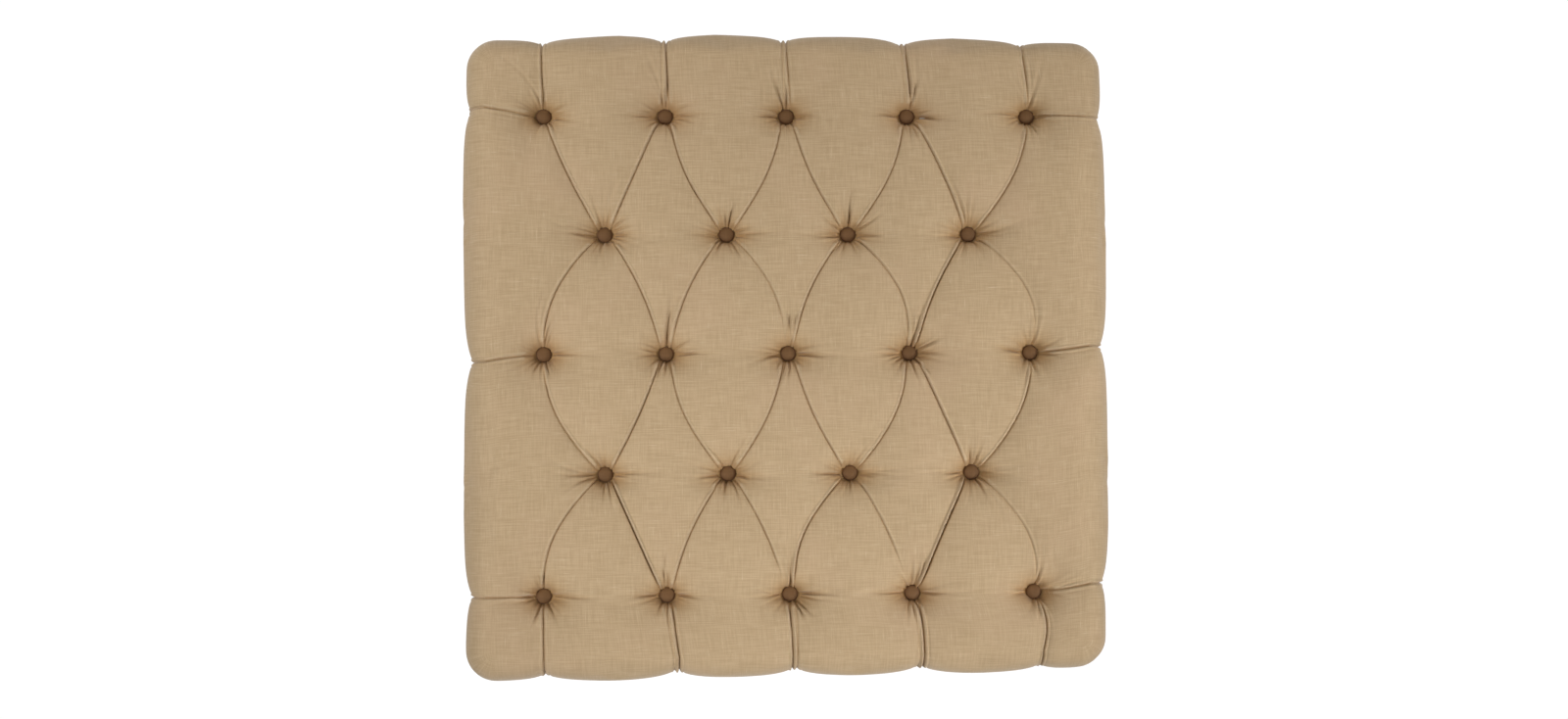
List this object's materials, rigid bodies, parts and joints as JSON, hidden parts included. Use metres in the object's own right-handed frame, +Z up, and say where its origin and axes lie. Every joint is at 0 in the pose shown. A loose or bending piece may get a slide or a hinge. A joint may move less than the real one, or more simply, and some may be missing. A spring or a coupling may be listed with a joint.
{
  "type": "ottoman coffee table",
  "caption": "Square diamond-tufted ottoman used as a coffee table, cloth cover with sunk buttons over a wooden box frame on tapered legs.",
  "frame": {"origin": "on the floor under the middle of the ottoman", "axes": "+Z up, +X to the right along the rows of buttons as pictured, +Y to the back, the top edge of the picture"},
  "size_m": [0.9156, 0.9156, 0.4341],
  "materials": {
    "linen": "slubbed linen-look weave, slight sheen",
    "linen_button": "the cover's cloth, pulled over a button form",
    "fibre_wadding": "white fibre wadding",
    "foam": "upholstery foam",
    "twine": "waxed flat twine",
    "dust_cloth": "black non-woven cloth",
    "pine": "planed, unfinished",
    "stained_wood": "dark stain, satin varnish",
    "glide_plastic": "moulded plastic",
    "zinc_steel": "zinc plated",
    "staple_wire": "galvanised wire"
  },
  "bodies": {
    "root": {"button_caps": "linen_button", "button_eyes": "zinc_steel", "corner_blocks": "pine", "cover": "linen", "cover_staples": "staple_wire", "deck_slat_1": "pine", "deck_slat_2": "pine", "deck_slat_3": "pine", "deck_slat_4": "pine", "deck_slat_5": "pine", "deck_slat_6": "pine", "dust_cover": "dust_cloth", "dust_cover_staples": "staple_wire", "foam_core": "foam", "leg_back_left": "stained_wood", "leg_back_right": "stained_wood", "leg_bolts": "zinc_steel", "leg_front_left": "stained_wood", "leg_front_right": "stained_wood", "leg_glides": "glide_plastic", "leg_nuts": "zinc_steel", "rail_back": "pine", "rail_front": "pine", "rail_left": "pine", "rail_right": "pine", "rail_staples": "staple_wire", "slat_staples": "staple_wire", "stretcher_left": "pine", "stretcher_right": "pine", "tuft_toggles": "pine", "tuft_twines": "twine", "wadding": "fibre_wadding"}
  },
  "joints": []
}
